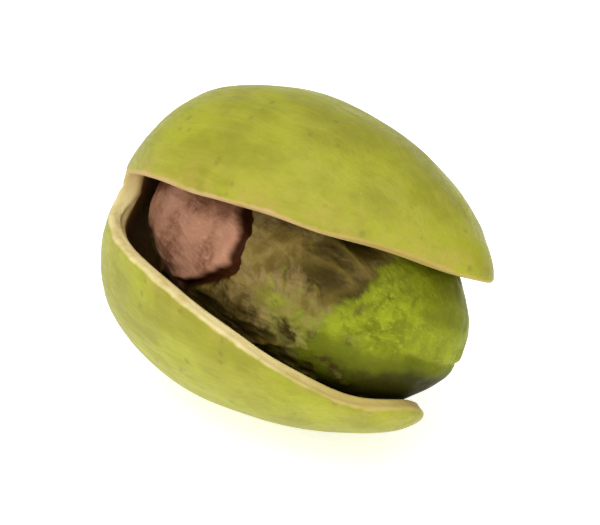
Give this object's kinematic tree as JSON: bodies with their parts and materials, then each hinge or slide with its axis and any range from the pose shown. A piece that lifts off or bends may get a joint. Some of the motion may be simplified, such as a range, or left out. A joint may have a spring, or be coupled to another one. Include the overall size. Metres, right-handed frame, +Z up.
{
  "type": "pistachio in shell",
  "caption": "Roasted pistachio lying on its side: a split woody shell gaping towards its tip, with the loose kernel inside.",
  "frame": {"origin": "on the surface that the nut rests on, under the middle of its bounding box", "axes": "+X along the nut from the joined stem end to the open tip; +Y away from the raised side of the mouth, so the mouth looks towards -Y and up; +Z up"},
  "size_m": [0.0212, 0.0146, 0.0152],
  "materials": {
    "woody_shell": "smooth satin, yellow-green",
    "seed_skin": "dull, wrinkled, pinkish-brown to green"
  },
  "bodies": {
    "root": {"shell": "woody_shell", "kernel": "seed_skin"}
  },
  "joints": []
}
